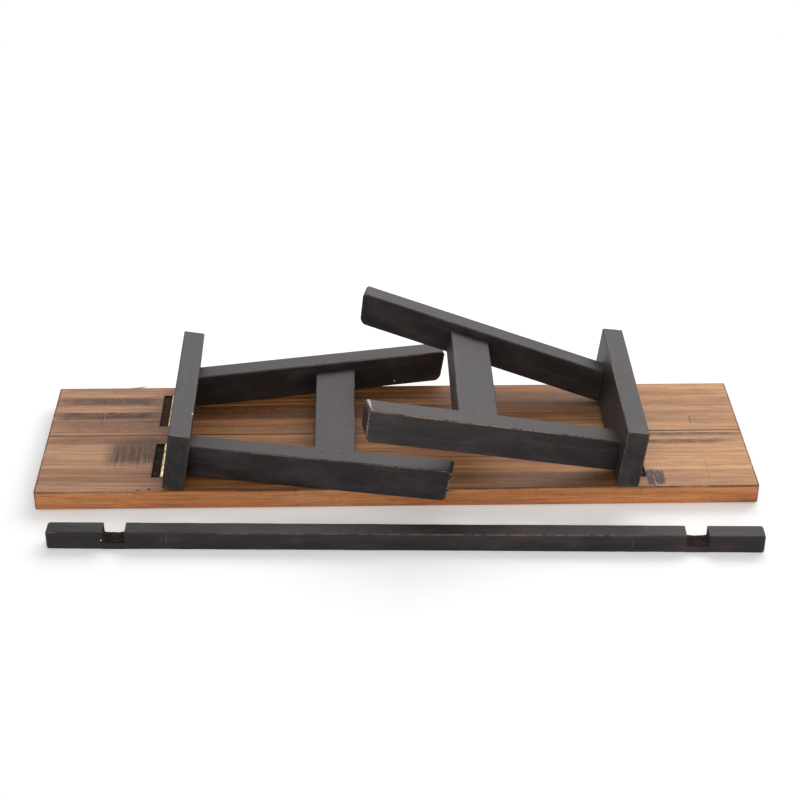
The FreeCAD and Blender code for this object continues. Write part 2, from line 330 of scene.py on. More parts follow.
# Broad dark bands of the top face: from x, to x, middle y, half width, strength, colour
rear_bands = [
    (-0.445, -0.312, 0.088, 0.009, 1.0, "543b31"),
    (-0.445, -0.308, 0.053, 0.0085, 1.0, "3a241b"),
    (-0.445, -0.300, 0.024, 0.014, 0.75, "765443"),
    (-0.445, -0.320, 0.117, 0.006, 0.40, "6f5142"),
    (-0.290, 0.060, 0.058, 0.017, 0.90, "42240f"),
    (-0.290, 0.060, 0.020, 0.010, 0.65, "5a3519"),
    (-0.060, 0.300, 0.098, 0.011, 0.70, "553a29"),
    (0.060, 0.290, 0.074, 0.004, 0.70, "4d3424"),
    (0.310, 0.445, 0.096, 0.005, 0.60, "7a5440"),
    (0.320, 0.445, 0.076, 0.005, 0.45, "855c44"),
    (0.310, 0.445, 0.040, 0.012, 0.50, "86614a"),
    (0.400, 0.450, 0.064, 0.004, 0.45, "6e4a38"),
]
front_bands = [
    (-0.445, -0.300, -0.007, 0.009, 0.80, "765443"),
    (-0.445, -0.380, -0.112, 0.008, 0.30, "84604a"),
    (-0.290, 0.150, -0.012, 0.008, 0.40, "5f3a1f"),
    (0.020, 0.300, -0.101, 0.011, 0.80, "55391f"),
    (0.100, 0.300, -0.119, 0.006, 0.70, "5c4334"),
    (0.300, 0.445, -0.092, 0.004, 0.45, "8a6147"),
    (0.300, 0.450, -0.003, 0.004, 0.95, "55372a"),
    (0.300, 0.425, -0.020, 0.0055, 0.95, "5a3c30"),
    (0.330, 0.445, -0.110, 0.008, 0.35, "94705a"),
]


def brushed_stain(paint):
    """Where stain was brushed out beside the left near pocket, in strokes across the grain."""
    stroke = paint.noise(paint.vector(paint.times(paint.x, 430), paint.times(paint.y, 10), 3.1), 4, 0.65)
    hair = paint.noise(paint.vector(paint.times(paint.x, 1300), paint.times(paint.y, 34), 8.4), 2)
    frayed = paint.plus(paint.y, paint.sway(stroke, 0.030))
    frayed = paint.plus(frayed, paint.sway(hair, 0.012))
    bristles = paint.times(paint.step(hair, 0.4, 0.6), 0.2)
    drawn = paint.plus(0.60, paint.times(paint.step(stroke, 0.40, 0.62), 0.25), bristles)
    brushed_length = paint.between(paint.x, -0.366, -0.305, 0.012)
    brushed_width = paint.between(frayed, -0.060, -0.012, 0.011)
    wash_length = paint.between(paint.x, -0.350, -0.300, 0.012)
    wash_width = paint.between(frayed, -0.036, -0.004, 0.008)
    wash = paint.times(wash_length, wash_width, 0.6)
    return paint.math("MAXIMUM", paint.times(brushed_length, brushed_width, drawn), wash)


def stain_dab(paint):
    """Where a dab of black stain sits in front of the right near hinge."""
    edge = paint.noise(paint.vector(paint.times(paint.x, 520), paint.times(paint.y, 70), 7.7), 3, 0.6)
    gap = paint.noise(paint.vector(paint.times(paint.x, 300), paint.times(paint.y, 75), 2.2), 2, 0.6)
    along = paint.between(paint.plus(paint.x, paint.sway(edge, 0.008)), 0.3115, 0.3335, 0.0012)
    across = paint.between(paint.plus(paint.y, paint.sway(edge, 0.030)), -0.119, -0.088, 0.002)
    return paint.times(along, across, paint.step(gap, 0.36, 0.42))


def plank_paint(name, bands, seed):
    """The oiled wood of one plank, with its bands, stains and scratches."""
    paint = Paint(name)
    x, y, z = paint.x, paint.y, paint.z
    broad, streak, fine, pore = grained(paint, x, y, z, seed)
    patch = paint.noise(paint.vector(paint.times(x, 7), paint.times(y, 22), paint.plus(z, seed)), 3)
    cloudy = paint.stretched((x, y, z), 0, (60, 90, 60), 4, 0.65)
    left_wood = paint.ramp(streak, (0.3, "a0745a"), (0.5, "bf9170"), (0.7, "d2a683"))
    middle_wood = paint.ramp(streak, (0.3, "6c3f20"), (0.48, "9c6539"), (0.68, "bd8853"))
    right_wood = paint.ramp(streak, (0.28, "b37f57"), (0.5, "cf9c70"), (0.7, "e0b285"))
    side_wood = paint.ramp(streak, (0.28, "c47a4a"), (0.5, "e0955e"), (0.7, "eeab75"))
    drift = paint.plus(x, paint.sway(patch, 0.05))
    top = paint.mix(paint.step(drift, -0.32, -0.27), left_wood, middle_wood)
    top = paint.mix(paint.step(drift, 0.16, 0.33), top, right_wood)
    shade = paint.ramp(broad, (0.3, "b9aba1"), (0.48, "ece8e4"), (0.62, "ffffff"))
    top = paint.mix(0.75, top, shade, "MULTIPLY")
    speckle = paint.step(paint.stretched((x, y, z), 0, (420, 620, 300), 2), 0.42, 0.58)
    blotch = paint.times(paint.step(cloudy, 0.35, 0.6), 0.25)
    spread = paint.plus(0.55, blotch, paint.times(speckle, 0.2))
    ragged = paint.plus(y, paint.sway(streak, 0.014))
    ragged = paint.plus(ragged, paint.sway(broad, 0.007))
    for start, end, middle, half, strength, code in bands:
        reach = paint.between(x, start, end, 0.03)
        width = paint.between(ragged, middle - half, middle + half, 0.004)
        top = paint.tint(top, code, reach, width, spread, strength)
    # the seam, and the wood beside it darkened by dirt
    seam = paint.apart(y, seam_y)
    top = paint.tint(top, "3a281d", paint.step(seam, 0.0022, 0.0006), 0.75)
    top = paint.tint(top, "36221a", brushed_stain(paint), 0.95)
    top = paint.tint(top, "3f3738", stain_dab(paint), 0.92)
    # dark specks where the stain ran out of the left near pocket
    runs = [(-0.3215, -0.1205, 0.0030), (-0.3080, -0.1190, 0.0032), (-0.3150, -0.1120, 0.0018)]
    for spot_x, spot_y, radius in runs:
        away = paint.span(paint.apart(x, spot_x), paint.apart(y, spot_y))
        away = paint.plus(away, paint.sway(cloudy, 0.003))
        top = paint.tint(top, "2c1b16", paint.step(away, radius, radius * 0.5), 0.8)
    # scratches
    scratches = [
        (-0.3815, 0.038, 0.068, 0.0004, 0.5, "c9a585"),
        (-0.3830, 0.030, 0.045, 0.0006, 0.8, "3f2b22"),
        (0.3875, 0.022, 0.040, 0.0006, 0.9, "3a2b27"),
        (0.3905, -0.117, -0.060, 0.0003, 0.7, "6d4d38"),
    ]
    for middle, low, high, half, strength, code in scratches:
        wavy = paint.noise(paint.vector(3.3, paint.times(y, 60), middle), 2)
        bent = paint.plus(x, paint.sway(wavy, 0.004))
        line = paint.times(
            paint.between(bent, middle - half, middle + half, half),
            paint.between(y, low, high, 0.002),
        )
        top = paint.tint(top, code, line, strength)
    # sides and the sitting face are warmer, and darker stains sit low on the front
    flat = paint.step(z, seat_thickness - 0.0016, seat_thickness - 0.0004)
    stained = paint.times(paint.step(patch, 0.56, 0.66), paint.step(z, 0.014, 0.002), 0.7)
    side = paint.tint(side_wood, "4b2f20", stained)
    side = paint.mix(0.55, side, shade, "MULTIPLY")
    ripple = paint.math("SINE", paint.times(x, 2 * math.pi / planer_pitch))
    chatter = paint.times(paint.step(ripple, 0.2, 1), paint.step(patch, 0.45, 0.6))
    side = paint.tint(side, "6a3f26", chatter, 0.22)
    base = paint.mix(flat, side, top)
    # the hinge pockets, nearly black inside on their walls and floor
    for hinge, outboard in ((left_hinge, -1), (right_hinge, 1)):
        out = paint.times(paint.math("SUBTRACT", x, hinge.x), outboard)
        inside = paint.between(out, -pocket_inboard, pocket_outboard, 0.0003)
        beside = paint.apart(y, hinge.y)
        near_end = hinge_offset - pocket_half
        far_end = hinge_offset + pocket_half
        inside = paint.times(inside, paint.between(beside, near_end, far_end, 0.0003))
        pocket_black = paint.times(paint.step(z, 0.0285, 0.0274), inside)
        base = paint.mix(pocket_black, base, paint.ramp(cloudy, (0.35, "1c100d"), (0.65, "3c1f17")))
    # dirt worked into the long edges
    from_side = paint.math("SUBTRACT", seat_width / 2, paint.math("ABSOLUTE", y))
    crease = paint.times(paint.step(from_side, 0.0022, 0.0006), paint.step(z, 0.0255, 0.0272))
    smutty = paint.step(paint.plus(patch, paint.times(cloudy, 0.4)), 0.62, 0.78)
    smutty = paint.plus(0.25, paint.times(smutty, 0.75))
    base = paint.tint(base, "3c271c", crease, smutty, 0.85)
    # grey-brown ends and their rims
    from_end = paint.math("SUBTRACT", seat_length / 2, paint.math("ABSOLUTE", x))
    end_face = paint.step(from_end, 0.0010, 0.0003)
    slanted = paint.plus(paint.times(y, 40), paint.times(z, 55))
    rings = paint.noise(paint.vector(seed, slanted, paint.times(z, 420)), 4, 0.6)
    end_wood = paint.ramp(rings, (0.3, "5f3f2b"), (0.5, "7b5439"), (0.7, "946a48"))
    base = paint.mix(end_face, base, end_wood)
    rim = paint.times(paint.step(from_end, 0.0032, 0.001), paint.step(cloudy, 0.3, 0.5), 0.85)
    rim = paint.times(rim, paint.math("SUBTRACT", 1, paint.times(end_face, 0.75)))
    base = paint.tint(base, "453028", rim)
    base = paint.tint(base, "4a2f20", paint.step(fine, 0.52, 0.34), 0.34)
    base = paint.tint(base, "3a2419", paint.step(pore, 0.36, 0.27), 0.5)
    base = paint.tint(base, "5a4030", paint.step(cloudy, 0.62, 0.8), 0.35)
    rough = paint.plus(0.42, paint.times(streak, 0.22), paint.times(cloudy, 0.1))
    height = paint.plus(paint.times(fine, 0.45), paint.times(streak, 0.35), paint.times(pore, 0.3))
    return paint.finish(base, rough, height, 0.35, 0.0006, specular=0.25)


# Frames and bar: black stain over the same wood, rubbed through on the edges

def stain_paint(
    name, slabs, grain, seed, wear=1.0, marks=(), ridges=None, chips=(), cuts=None, gloss=0.38, dots=()
):
    """Black stain on one member, worn on its edges.

    grain: the member's own (along, across, through) directions
    marks: stretches of edge worn more than the rest, as (point, reach, strength)
    ridges: saw marks along the grain, as (from, to, pitch)
    chips: spots of bare wood, as (point, radius)
    cuts: a function that paints the rough notches of the bar
    dots: end edges worn off in points, as (point, reach, direction, pitch, end normal, strength)
    """
    paint = Paint(name)
    along = paint.dot(grain[0])
    across = paint.dot(grain[1])
    through = paint.dot(grain[2])
    _, streak, fine, _ = grained(paint, along, across, through, seed)
    cloudy = paint.stretched((along, across, through), seed, (16, 34, 34), 4, 0.6)
    dapple = paint.stretched((along, across, through), seed, (120, 260, 260), 3, 0.6)
    base = paint.ramp(cloudy, (0.3, "161011"), (0.48, "211a1b"), (0.68, "3b3031"))
    base = paint.tint(base, "453c3d", paint.step(streak, 0.5, 0.72), 0.35)
    base = paint.tint(base, "191617", paint.step(fine, 0.45, 0.3), 0.35)
    rubbed = paint.times(paint.step(cloudy, 0.56, 0.72), paint.step(streak, 0.46, 0.66))
    base = paint.tint(base, "4a3028", rubbed, 0.5)
    edge = edge_closeness(paint, slabs)
    dash = paint.stretched((along, across, through), seed, (70, 90, 90), 5, 0.75)
    reach = paint.stretched((along, across, through), seed, (9, 8, 8), 2)
    width = paint.plus(-0.0027, paint.times(paint.step(dash, 0.45, 0.8), 0.0014))
    closeness = paint.math("SUBTRACT", edge, width)
    amount = paint.times(paint.step(reach, 0.42, 0.62), wear)
    for point, radius, strength in marks:
        near = paint.times(paint.step(paint.distance(point), radius, radius * 0.6), strength)
        amount = paint.math("MAXIMUM", amount, near)
    worn = paint.times(
        paint.step(closeness, 0.0010, 0.0017),
        paint.step(paint.plus(dash, paint.times(amount, 0.12)), 0.48, 0.6),
        amount,
    )
    soft_rub = paint.times(paint.step(edge, -0.004, -0.0008), paint.step(reach, 0.35, 0.7), 0.3)
    base = paint.tint(base, "4b3a33", soft_rub)
    base = paint.mix(worn, base, paint.ramp(dash, (0.42, "6f5140"), (0.62, "b8967a")))
    for point, radius in chips:
        ragged = paint.plus(paint.distance(point), paint.sway(dapple, radius * 1.4))
        bare = paint.step(ragged, radius, radius * 0.7)
        base = paint.mix(bare, base, paint.ramp(fine, (0.35, "c9a582"), (0.6, "ecd9c3")))
    for point, radius, direction, pitch, normal, strength in dots:
        from_end = paint.apart(paint.dot(normal), normal.dot(point))
        place = paint.plus(paint.dot(direction), paint.sway(dash, pitch * 1.5))
        wave = paint.math("SINE", paint.times(place, 2 * math.pi / pitch))
        pointed = paint.times(
            paint.step(wave, 0.3, 0.7),
            paint.step(edge, -0.0022, -0.0014),
            paint.step(from_end, 0.0026, 0.0018),
            paint.step(paint.distance(point), radius, radius * 0.9),
            paint.step(dapple, 0.38, 0.46),
        )
        base = paint.tint(base, "b9aca2", pointed, strength)
    speck = paint.stretched((along, across, through), 0, (330, 330, 330), 1)
    base = paint.tint(base, "8d8078", paint.step(speck, 0.80, 0.84), 0.7)
    rough = paint.plus(0.36, paint.times(cloudy, 0.16), paint.times(streak, 0.1), paint.times(worn, 0.2))
    height = paint.plus(paint.times(fine, 0.3), paint.times(streak, 0.5), paint.times(dapple, 0.25))
    if ridges:
        low, high, pitch = ridges
        saw = paint.math("SINE", paint.times(along, 2 * math.pi / pitch))
        uneven = paint.times(paint.between(along, low, high, 0.02), paint.step(cloudy, 0.25, 0.6))
        by_edge = paint.plus(0.25, paint.times(paint.step(edge, -0.024, -0.013), 0.75))
        uneven = paint.times(uneven, by_edge)
        uneven = paint.times(uneven, paint.plus(0.4, paint.times(paint.step(dash, 0.35, 0.65), 0.6)))
        height = paint.plus(height, paint.times(saw, uneven, 1.1))
        base = paint.tint(base, "564f51", paint.step(saw, 0.1, 1.0), uneven, 0.5)
    if cuts:
        base, inside = cuts(paint, base, along, dash, dapple)
        rough = paint.plus(rough, paint.times(inside, 0.5))
    rough = paint.plus(rough, (0.42 - gloss) * 0.8)
    return paint.finish(base, rough, height, 0.4, 0.0007, specular=gloss)


def frame_slabs(left, parts):
    """Slabs of a frame's member, from (direction on the opened frame, point, size)."""
    turn = turn_of(left)
    return [slab(turn @ direction, folded(point, left), size) for direction, point, size in parts]


def grain_of(left, directions):
    """A member's own directions once its frame is folded."""
    return [(turn_of(left) @ direction).normalized() for direction in directions]


def cleat_parts():
    """Slabs of a cleat on the opened frame."""
    corner = Vector((cleat_edge, -cleat_length / 2, pin_drop))
    return [(NORTH, corner, cleat_length), (EAST, corner, cleat_width), (UP, corner, cleat_thickness)]


def foot_normal(side):
    """Unit vector square to the end of a foot."""
    return (EAST.cross(splay_normal(side)) * side).normalized()


def leg_parts(side):
    """Slabs of a leg on the opened frame."""
    corner = on_leg(0, -leg_width / 2, side)
    down = foot_normal(side)
    past_cleat = 0.4
    top = on_leg(leg_length, 0, side) - down * past_cleat
    return [
        (down, top, past_cleat),
        (ACROSS, corner, leg_width),
        (splay_normal(side), corner, leg_thickness),
    ]


def rung_parts():
    """Slabs of a rung on the opened frame, with its ends out of reach inside the legs."""
    out_of_reach = 0.5
    corner = on_leg(rung_start, -rung_thickness / 2, 0)
    return [
        (NORTH, -NORTH * out_of_reach, 2 * out_of_reach),
        (ACROSS, corner, rung_thickness),
        (AXIS, corner, rung_width),
    ]


def paint_frame(left):
    """The black members of one frame, with their worn stretches and chips."""
    name = "left_" if left else "right_"
    seed = 11.0 if left else 47.0
    run = {side: (on_leg(1, 0, side) - on_leg(0, 0, side)).normalized() for side in (1, -1)}
    marks = {"near_leg": [], "far_leg": [], "cleat": []}
    chips = {"near_leg": [], "far_leg": [], "cleat": []}
    out = splay_normal(-1) * leg_thickness
    foot = folded(on_leg(leg_length, 0, -1) + out, left)
    turn = turn_of(left)
    dot_pitch = 0.0034
    dot_strength = 0.85 if left else 0.4
    dots = [(foot, leg_width * 0.56, turn @ ACROSS, dot_pitch, turn @ foot_normal(-1), dot_strength)]
    if left:
        edge = on_leg(0.30, leg_width / 2, -1) + out
        middle = on_leg(0.13, leg_width / 2, -1) + out
        marks["near_leg"] = [
            (folded(edge, True), 0.09, 0.5),
            (folded(middle, True), 0.09, 0.45),
        ]
        knock = (cleat_edge + cleat_width - 0.0004, -0.073, cleat_inner - 0.0004)
        chips["cleat"] = [(folded(knock, True), 0.0019)]
        for i in range(3):
            spot = on_leg(0.262, -0.014 - 0.0012 * i, 1)
            chips["far_leg"].append((folded(spot, True), 0.0009))
        marks["far_leg"] = [(folded(on_leg(0.26, leg_width / 2, 1), True), 0.10, 0.6)]
    else:
        edge = on_leg(0.19, leg_width / 2, -1) + out
        marks["near_leg"] = [(folded(edge, False), 0.13, 1.0), (foot, 0.022, 0.5)]
        top_edge = Vector((cleat_edge + cleat_width, -0.02, cleat_inner))
        marks["cleat"] = [(folded(top_edge, False), 0.07, 0.9)]
        foot_edge = on_leg(leg_length - 0.0006, leg_width / 2 - 0.0006, -1)
        for i in range(6):
            spot = foot_edge + splay_normal(-1) * (0.002 + 0.0042 * i)
            chips["near_leg"].append((folded(spot, False), 0.0026 - 0.0003 * i))
    cleat_grain = grain_of(left, [NORTH, EAST, UP])
    ridges = None if left else (-0.115, 0.05, 0.0044)
    cleat = stain_paint(
        name + "cleat_stain",
        frame_slabs(left, cleat_parts()),
        cleat_grain,
        seed,
        wear=0.3,
        marks=marks["cleat"],
        ridges=ridges,
        chips=chips["cleat"],
    )
    dress(name + "cleat", cleat)
    for end, side in (("far_leg", 1), ("near_leg", -1)):
        leg = stain_paint(
            name + end + "_stain",
            frame_slabs(left, leg_parts(side)),
            grain_of(left, [run[side], ACROSS, splay_normal(side)]),
            seed + 3 * side,
            wear=0.5,
            marks=marks[end],
            chips=chips[end],
            dots=dots if end == "near_leg" else (),
        )
        dress(name + end, leg)
    rung = stain_paint(
        name + "rung_stain",
        frame_slabs(left, rung_parts()),
        grain_of(left, [NORTH, ACROSS, AXIS]),
        seed + 7,
        wear=0.5,
    )
    dress(name + "rung", rung)


def bar_slabs():
    """Slabs of the locking bar."""
    along = bar_rotation @ EAST
    across = bar_rotation @ NORTH
    middle = bar_place + Vector((0, bar_width / 2, 0))
    start = middle - along * (bar_length / 2) - across * (bar_width / 2)
    return [slab(along, start, bar_length), slab(across, start, bar_width), slab(UP, start, bar_height)]


# Metal, dowels and pegs

def brass_paint(name, seed, left=None, dull=0.0, dark_code="1c110d"):
    """Aged brass. On a leaf, only the barrel is bright and the plate is nearly black."""
    paint = Paint(name)
    lifted = paint.plus(paint.z, seed)
    place = (paint.x, paint.y, lifted)
    spots = paint.stretched(place, 0, (260, 260, 260), 4, 0.6)
    clouds = paint.stretched(place, 0, (60, 90, 60), 3)
    base = paint.ramp(spots, (0.35, "a38d62"), (0.5, "dcc697"), (0.65, "fbf1d6"))
    darkening = paint.math("MAXIMUM", paint.times(paint.step(clouds, 0.52, 0.68), 0.6), dull)
    if left is not None:
        # a leaf's plate, away from the barrel, is made nearly black
        hinge = hinge_of(left)
        far = paint.span(paint.apart(paint.x, hinge.x), paint.apart(paint.z, hinge.z))
        darkening = paint.math("MAXIMUM", darkening, paint.step(far, 0.0026, 0.0034))
    base = paint.tint(base, dark_code, darkening)
    rough = paint.plus(0.24, paint.times(darkening, 0.45), paint.times(spots, 0.15))
    metal = paint.math("SUBTRACT", 0.9, paint.times(darkening, 0.88))
    return paint.finish(base, rough, spots, 0.2, 0.0003, metallic=metal, specular=0.15)


def wood_paint(name, dark, light, seed):
    """Plain fine-grained wood for hidden dowels and pegs."""
    paint = Paint(name)
    _, streak, fine, _ = grained(paint, paint.y, paint.x, paint.z, seed)
    base = paint.ramp(streak, (0.3, dark), (0.7, light))
    return paint.finish(base, paint.plus(0.5, paint.times(streak, 0.2)), fine, 0.3, 0.0003)


dress("front_plank", plank_paint("front_plank_wood", front_bands, 2.0))
dress("rear_plank", plank_paint("rear_plank_wood", rear_bands, 5.0))
dress("seam_dowels", wood_paint("dowel_wood_finish", "b08a60", "d4b48a", 1.0))
paint_frame(True)
paint_frame(False)
peg_paint = wood_paint("peg_wood_finish", "1d1918", "2f2826", 4.0)
for left, side_name in both_sides:
    for end_name, dark_code in (("far_", "3c2018"), ("near_", "150d0b")):
        leaf_brass = brass_paint(side_name + end_name + "leaf_brass", 1.0, left, dark_code=dark_code)
        dress(side_name + end_name + "seat_leaf", leaf_brass)
        dress(side_name + end_name + "cleat_leaf", leaf_brass)
        dress(side_name + end_name + "hinge_pin", brass_paint(side_name + end_name + "pin_brass", 2.0))


# Screws, pegs and other small pieces that stand for plainer solids

def set_out(name, data):
    """A new object in the scene."""
    thing = bpy.data.objects.new(name, data)
    bpy.context.scene.collection.objects.link(thing)
    return thing


def piece(name, mesh, material, body, stands_for=()):
    """A scene's own piece: its finish, the body that it moves with and the solids it stands for."""
    thing = set_out(name, mesh)
    mesh.materials.append(material)
    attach(thing, body)
    if stands_for:
        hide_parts(*stands_for)
    return thing


def smooth_by_angle(mesh, degrees):
    """Smooth faces, with edges sharper than an angle kept."""
    for face in mesh.polygons:
        face.use_smooth = True
    mesh.set_sharp_from_angle(angle=math.radians(degrees))


def lathe(rings, sides=24):
    """Closed turned form from (distance, radius) rings up the Z axis."""
    form = bmesh.new()
    loops = []
    for distance, radius in rings:
        loop = []
        for i in range(sides):
            angle = 2 * math.pi * i / sides
            loop.append(form.verts.new((radius * math.cos(angle), radius * math.sin(angle), distance)))
        loops.append(loop)
    for low, high in zip(loops, loops[1:]):
        for i in range(sides):
            j = (i + 1) % sides
            form.faces.new((low[i], low[j], high[j], high[i]))
    form.faces.new(list(reversed(loops[0])))
    form.faces.new(loops[-1])
    return form


def screw_form(turn):
    """Slotted countersunk wood screw, head at the origin, pointing down."""
    thread_root = 0.00095
    thread_crest = 0.0014
    thread_pitch = 0.0009
    thread_end = -0.0045
    slot_half = 0.00035
    slot_depth = 0.0006
    face_height = 1e-5
    rings = [(-0.0140, 0.0003), (-0.0118, 0.0013)]
    height = -0.0115
    while height < thread_end:
        rings.append((height, thread_root))
        rings.append((height + thread_pitch / 2, thread_crest))
        height += thread_pitch
    rings += [(-0.0040, 0.00135), (-0.0012, 0.0014), (-0.0003, 0.0025), (-0.0001, 0.0026), (0, 0.00245)]
    form = lathe(rings)
    across = Vector((math.sin(turn), math.cos(turn), 0))
    for side in (1, -1):
        place = across * (slot_half * side)
        around = set()
        for face in form.faces:
            if face.normal.z > 0.9 and abs(face.calc_center_median().z) < face_height:
                around.update([face], face.edges, face.verts)
        bmesh.ops.bisect_plane(form, geom=list(around), plane_co=place, plane_no=across)
        form.normal_update()
    for face in list(form.faces):
        middle = face.calc_center_median()
        in_slot = abs(middle.dot(across)) < slot_half * 0.9
        if in_slot and abs(middle.z) < face_height and face.normal.z > 0.9:
            pushed = bmesh.ops.extrude_face_region(form, geom=[face])
            corners = [v for v in pushed["geom"] if isinstance(v, bmesh.types.BMVert)]
            bmesh.ops.translate(form, verts=corners, vec=(0, 0, -slot_depth))
            bmesh.ops.delete(form, geom=[face], context="FACES_ONLY")
    return form


def gathered(forms, degrees=35):
    """One smooth mesh from (form, matrix) pairs, with edges sharper than an angle kept."""
    whole = bmesh.new()
    for form, matrix in forms:
        part = bpy.data.meshes.new("part")
        form.to_mesh(part)
        form.free()
        part.transform(matrix)
        whole.from_mesh(part)
        bpy.data.meshes.remove(part)
    mesh = bpy.data.meshes.new("small_parts")
    bmesh.ops.recalc_face_normals(whole, faces=whole.faces[:])
    whole.to_mesh(mesh)
    whole.free()
    smooth_by_angle(mesh, degrees)
    return mesh


def placed(origin, direction):
    """Matrix that sets a form's Z axis along a direction at a point."""
    return Matrix.Translation(origin) @ Vector(direction).to_track_quat("Z", "Y").to_matrix().to_4x4()


def screws():
    """Hinge screws with slots, turned as they were left."""
    chance = random.Random(5)
    head = 0.00015
    seat_screws = []
    for left, side_name in both_sides:
        hinge = hinge_of(left)
        outboard = -1 if left else 1
        cleat_screws = []
        for hinge_y in (hinge_offset, -hinge_offset):
            for i in (-1, 0, 1):
                y = hinge_y + i * screw_pitch
                below = hinge + Vector((outboard * screw_offset, y, -head))
                seat_screws.append((screw_form(chance.uniform(0, 3)), placed(below, UP)))
                above = folded((screw_offset, y, head), left)
                facing = turn_of(left) @ -UP
                cleat_screws.append((screw_form(chance.uniform(0, 3)), placed(above, facing)))
        mesh = gathered(cleat_screws)
        frame_body = side_name + "frame"
        plain = [side_name + "cleat_screws"]
        piece(side_name + "slotted_screws", mesh, screw_metal, frame_body, plain)
    mesh = gathered(seat_screws)
    piece("seat_slotted_screws", mesh, screw_metal, "seat", ["seat_hinge_screws"])


def knuckles():
    """Barrels of the hinges, knuckle by knuckle, a little fuller than their solids."""
    count = 5
    pitch = hinge_length / count
    gap = 0.0002
    radius = 0.0034
    bore = 0.0014
    for left, side_name in both_sides:
        hinge = hinge_of(left)
        for parity, body in ((0, "seat"), (1, side_name + "frame")):
            forms = []
            for hinge_y in (hinge_offset, -hinge_offset):
                for i in range(parity, count, 2):
                    start = hinge + Vector((0, hinge_y - hinge_length / 2 + i * pitch + gap, 0))
                    long = pitch - 2 * gap
                    rings = [(0, bore), (0, radius - 0.0005)]
                    rings += [(0.0002, radius - 0.0002), (0.0006, radius)]
                    rings += [(long - distance, ring) for distance, ring in reversed(rings)]
                    forms.append((lathe(rings), placed(start, NORTH)))
            mesh = gathered(forms)
            name = side_name + ("seat_knuckles" if parity == 0 else "cleat_knuckles")
            piece(name, mesh, brass_paint(name + "_brass", 4.0 + parity), body)


def round_pegs():
    """Round pegs through the rung tenons, cut off level and slightly crowned."""
    for left, side_name in both_sides:
        forms = []
        for side in (1, -1):
            for offset in (-peg_spacing / 2, peg_spacing / 2):
                along = rung_start + rung_width / 2 + offset
                top = on_leg(along, leg_width / 2, side) + splay_normal(side) * peg_inset
                rings = [(-0.033, 0.0021), (-0.0325, 0.0024), (-0.0005, 0.00245)]
                rings += [(0, 0.0023), (0.0002, 0.0016), (0.0003, 0.0007)]
                way = turn_of(left) @ ACROSS
                forms.append((lathe(rings, 20), placed(folded(top, left), way)))
        mesh = gathered(forms, 40)
        plain = [side_name + "rung_pegs"]
        piece(side_name + "round_pegs", mesh, peg_paint, side_name + "frame", plain)


# Locking bar, with rough chiselled notches

notch_middle = 0.35043
notch_half = 0.01385
notch_floor = 0.0105
prick_start = -0.4072
prick_pitch = 0.0048
prick_count = 4
prick_y = 0.0121
prick_half = 0.00065
prick_depth = 0.0022
chisel_jitter = 0.00025


def bar_point(x, y, z):
    """A point of the bar's own frame where the bar lies."""
    pivot = Vector((0, bar_width / 2, 0))
    return bar_rotation @ (Vector((x, y, z)) - pivot) + pivot + bar_place


def bar_marks(paint, base, along, dash, dapple):
    """Raw, dirty wood inside the notches and a few scratches, and where the notches are."""
    start = (bar_rotation @ EAST).dot(bar_point(0, 0, 0))
    own = paint.math("SUBTRACT", along, start)
    from_notch = paint.apart(paint.math("ABSOLUTE", own), notch_middle)
    ragged = paint.plus(paint.z, paint.times(dapple, 0.002))
    depth = paint.between(ragged, notch_floor - 0.0008, bar_height - 0.0005, 0.0004)
    inside = paint.times(paint.step(from_notch, notch_half + 0.0006, notch_half - 0.0002), depth)
    raw = paint.ramp(dapple, (0.36, "0b0807"), (0.52, "1a1311"), (0.68, "4a3428"))
    base = paint.mix(paint.times(inside, 0.9), base, raw)
    rim = paint.between(from_notch, notch_half - 0.0008, notch_half + 0.0012, 0.0006)
    rim = paint.times(rim, paint.step(dash, 0.54, 0.64))
    rim = paint.times(rim, paint.step(paint.z, 0.008, 0.012))
    base = paint.mix(paint.times(rim, 0.8), base, paint.ramp(dapple, (0.38, "8a5536"), (0.6, "c09470")))
    for place, low, high in ((-0.2925, 0.014, 0.020), (-0.2868, 0.010, 0.022), (0.2727, 0.006, 0.021)):
        line = paint.between(own, place - 0.0002, place + 0.0002, 0.0003)
        line = paint.times(line, paint.between(paint.z, low, high, 0.001))
        base = paint.tint(base, "8a7264", line, 0.6)
    return base, inside


def bar_profile(top, corner, inset):
    """Outline of the bar's section as (y, z) points, with the top row cut finer."""
    points = []
    corners = ((1, 0, -90), (1, 1, 0), (0, 1, 90), (0, 0, 180))
    sides = (4, 18, 4, 4)
    ends = []
    for right, high, turn in corners:
        middle_y = bar_width - inset - corner if right else inset + corner
        middle_z = top - inset - corner if high else inset + corner
        arc = []
        for step in (0, 0.5, 1):
            angle = math.radians(turn + 90 * step)
            arc.append((middle_y + corner * math.cos(angle), middle_z + corner * math.sin(angle)))
        ends.append(arc)
    for i in range(4):
        points += ends[i]
        first = ends[i][-1]
        last = ends[(i + 1) % 4][0]
        for k in range(1, sides[i]):
            share = k / sides[i]
            y = first[0] + (last[0] - first[0]) * share
            z = first[1] + (last[1] - first[1]) * share
            points.append((y, z))
    return points


